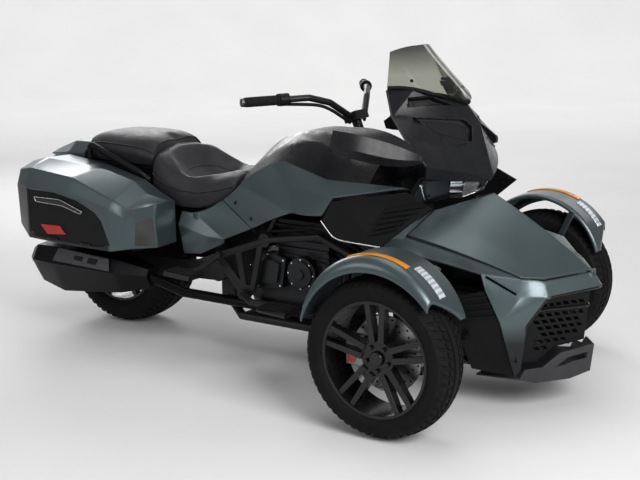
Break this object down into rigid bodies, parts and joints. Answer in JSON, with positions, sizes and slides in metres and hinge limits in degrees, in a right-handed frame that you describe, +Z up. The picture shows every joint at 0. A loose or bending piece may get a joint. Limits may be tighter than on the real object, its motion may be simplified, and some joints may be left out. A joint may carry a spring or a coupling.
{
  "type": "three-wheeled motorcycle",
  "caption": "Touring three-wheeled motorcycle with steered front wheels under turning fenders, one belt-driven rear wheel, luggage space under the nose lid and hard side bags.",
  "frame": {"origin": "on the ground under the middle of the vehicle's length and width", "axes": "+X forward, +Y to the rider's left, +Z up"},
  "size_m": [2.642, 1.5014, 1.2689],
  "materials": {
    "body_paint": "satin metallic",
    "black_plastic": "moulded",
    "gloss_black": "gloss",
    "tyre_rubber": "matt",
    "wheel_black": "gloss black",
    "disc_steel": "ground",
    "frame_black": "powder coat",
    "cast_alloy": "cast",
    "engine_alloy": "dark cast",
    "exhaust_dark": "heat-proof satin",
    "seat_vinyl": "grained vinyl",
    "clear_screen": "smoked",
    "lamp_lens": "clear lens",
    "red_lens": "red lens",
    "mirror_silver": "silvered",
    "belt_rubber": "matt",
    "grip_rubber": "ribbed",
    "damper_steel": "satin",
    "chin_grey": "satin grey"
  },
  "bodies": {
    "chassis": {"belly_pan": "black_plastic", "chin_splitter": "chin_grey", "console": "gloss_black", "dampers": "damper_steel", "drive_belt": "belt_rubber", "engine": "engine_alloy", "exhaust": "exhaust_dark", "fairing": "gloss_black", "footrests": "cast_alloy", "frame": "frame_black", "grab_handles": "frame_black", "grille": "black_plastic", "headlights": "lamp_lens", "instrument_pod": "black_plastic", "intake_panels": "gloss_black", "luggage_tub": "black_plastic", "mirror_glasses": "mirror_silver", "mirror_pods": "black_plastic", "nose_fascia": "body_paint", "nose_louvres": "black_plastic", "rear_mudguard": "black_plastic", "saddlebag_left": "body_paint", "saddlebag_right": "body_paint", "seat_base": "black_plastic", "seat_passenger": "seat_vinyl", "seat_rider": "seat_vinyl", "side_panels": "body_paint", "swingarm": "frame_black", "tail_cover": "body_paint", "tail_lamp": "red_lens", "windscreen": "clear_screen", "wishbones": "frame_black"},
    "wheel_front_right": {"tyre_front_right": "tyre_rubber", "rim_front_right": "wheel_black", "brake_disc_front_right": "disc_steel"},
    "wheel_front_left": {"tyre_front_left": "tyre_rubber", "rim_front_left": "wheel_black", "brake_disc_front_left": "disc_steel"},
    "wheel_rear": {"tyre_rear": "tyre_rubber", "rim_rear": "wheel_black", "rear_sprocket_and_disc": "disc_steel"},
    "knuckle_right": {"knuckle_right": "cast_alloy", "caliper_right": "cast_alloy", "fender_right": "body_paint", "fender_lamps_right": "lamp_lens"},
    "knuckle_left": {"knuckle_left": "cast_alloy", "caliper_left": "cast_alloy", "fender_left": "body_paint", "fender_lamps_left": "lamp_lens"},
    "steering_rack": {"steering_rack": "frame_black"},
    "handlebar": {"handlebar": "frame_black", "grips": "grip_rubber", "switch_pods": "black_plastic"},
    "luggage_lid": {"luggage_lid": "body_paint"},
    "saddlebag_door_right": {"saddlebag_door_right": "black_plastic"},
    "saddlebag_door_left": {"saddlebag_door_left": "black_plastic"}
  },
  "joints": [
    {"name": "front_right_wheel_spin", "type": "hinge", "parent": "knuckle_right", "child": "wheel_front_right", "pos_m": [0.816, -0.654, 0.281], "axis": [0, 1, 0], "continuous": true},
    {"name": "front_left_wheel_spin", "type": "hinge", "parent": "knuckle_left", "child": "wheel_front_left", "pos_m": [0.816, 0.654, 0.281], "axis": [0, 1, 0], "continuous": true},
    {"name": "rear_wheel_spin", "type": "hinge", "parent": "chassis", "child": "wheel_rear", "pos_m": [-0.893, 0, 0.303], "axis": [0, 1, 0], "continuous": true},
    {"name": "steering", "type": "hinge", "parent": "chassis", "child": "handlebar", "pos_m": [0.296, 0, 0.968], "axis": [-0.3746, 0, 0.9272], "range_deg": [-30, 30]},
    {"name": "knuckle_right_steer", "type": "hinge", "parent": "chassis", "child": "knuckle_right", "pos_m": [0.816, -0.554, 0.281], "axis": [0, 0, 1], "range_deg": [-24, 24]},
    {"name": "knuckle_left_steer", "type": "hinge", "parent": "chassis", "child": "knuckle_left", "pos_m": [0.816, 0.554, 0.281], "axis": [0, 0, 1], "range_deg": [-24, 24]},
    {"name": "rack_slide", "type": "slide", "parent": "chassis", "child": "steering_rack", "axis": [0, 1, 0], "range_m": [-0.05077, 0.05077]},
    {"name": "luggage_lid_hinge", "type": "hinge", "parent": "chassis", "child": "luggage_lid", "pos_m": [1.284, 0, 0.5], "axis": [0, 1, 0], "range_deg": [0, 60]},
    {"name": "saddlebag_door_right_hinge", "type": "hinge", "parent": "chassis", "child": "saddlebag_door_right", "pos_m": [-0.844, -0.441, 0.44], "axis": [0.9977, -0.0678, 0], "range_deg": [0, 55]},
    {"name": "saddlebag_door_left_hinge", "type": "hinge", "parent": "chassis", "child": "saddlebag_door_left", "pos_m": [-0.844, 0.441, 0.44], "axis": [-0.9977, -0.0678, 0], "range_deg": [0, 55]}
  ],
  "couplings": [
    {"joint": "knuckle_right_steer", "follows": "steering", "ratio": 0.8},
    {"joint": "knuckle_left_steer", "follows": "steering", "ratio": 0.8},
    {"joint": "rack_slide", "follows": "steering", "m_per_rad": -0.096}
  ]
}
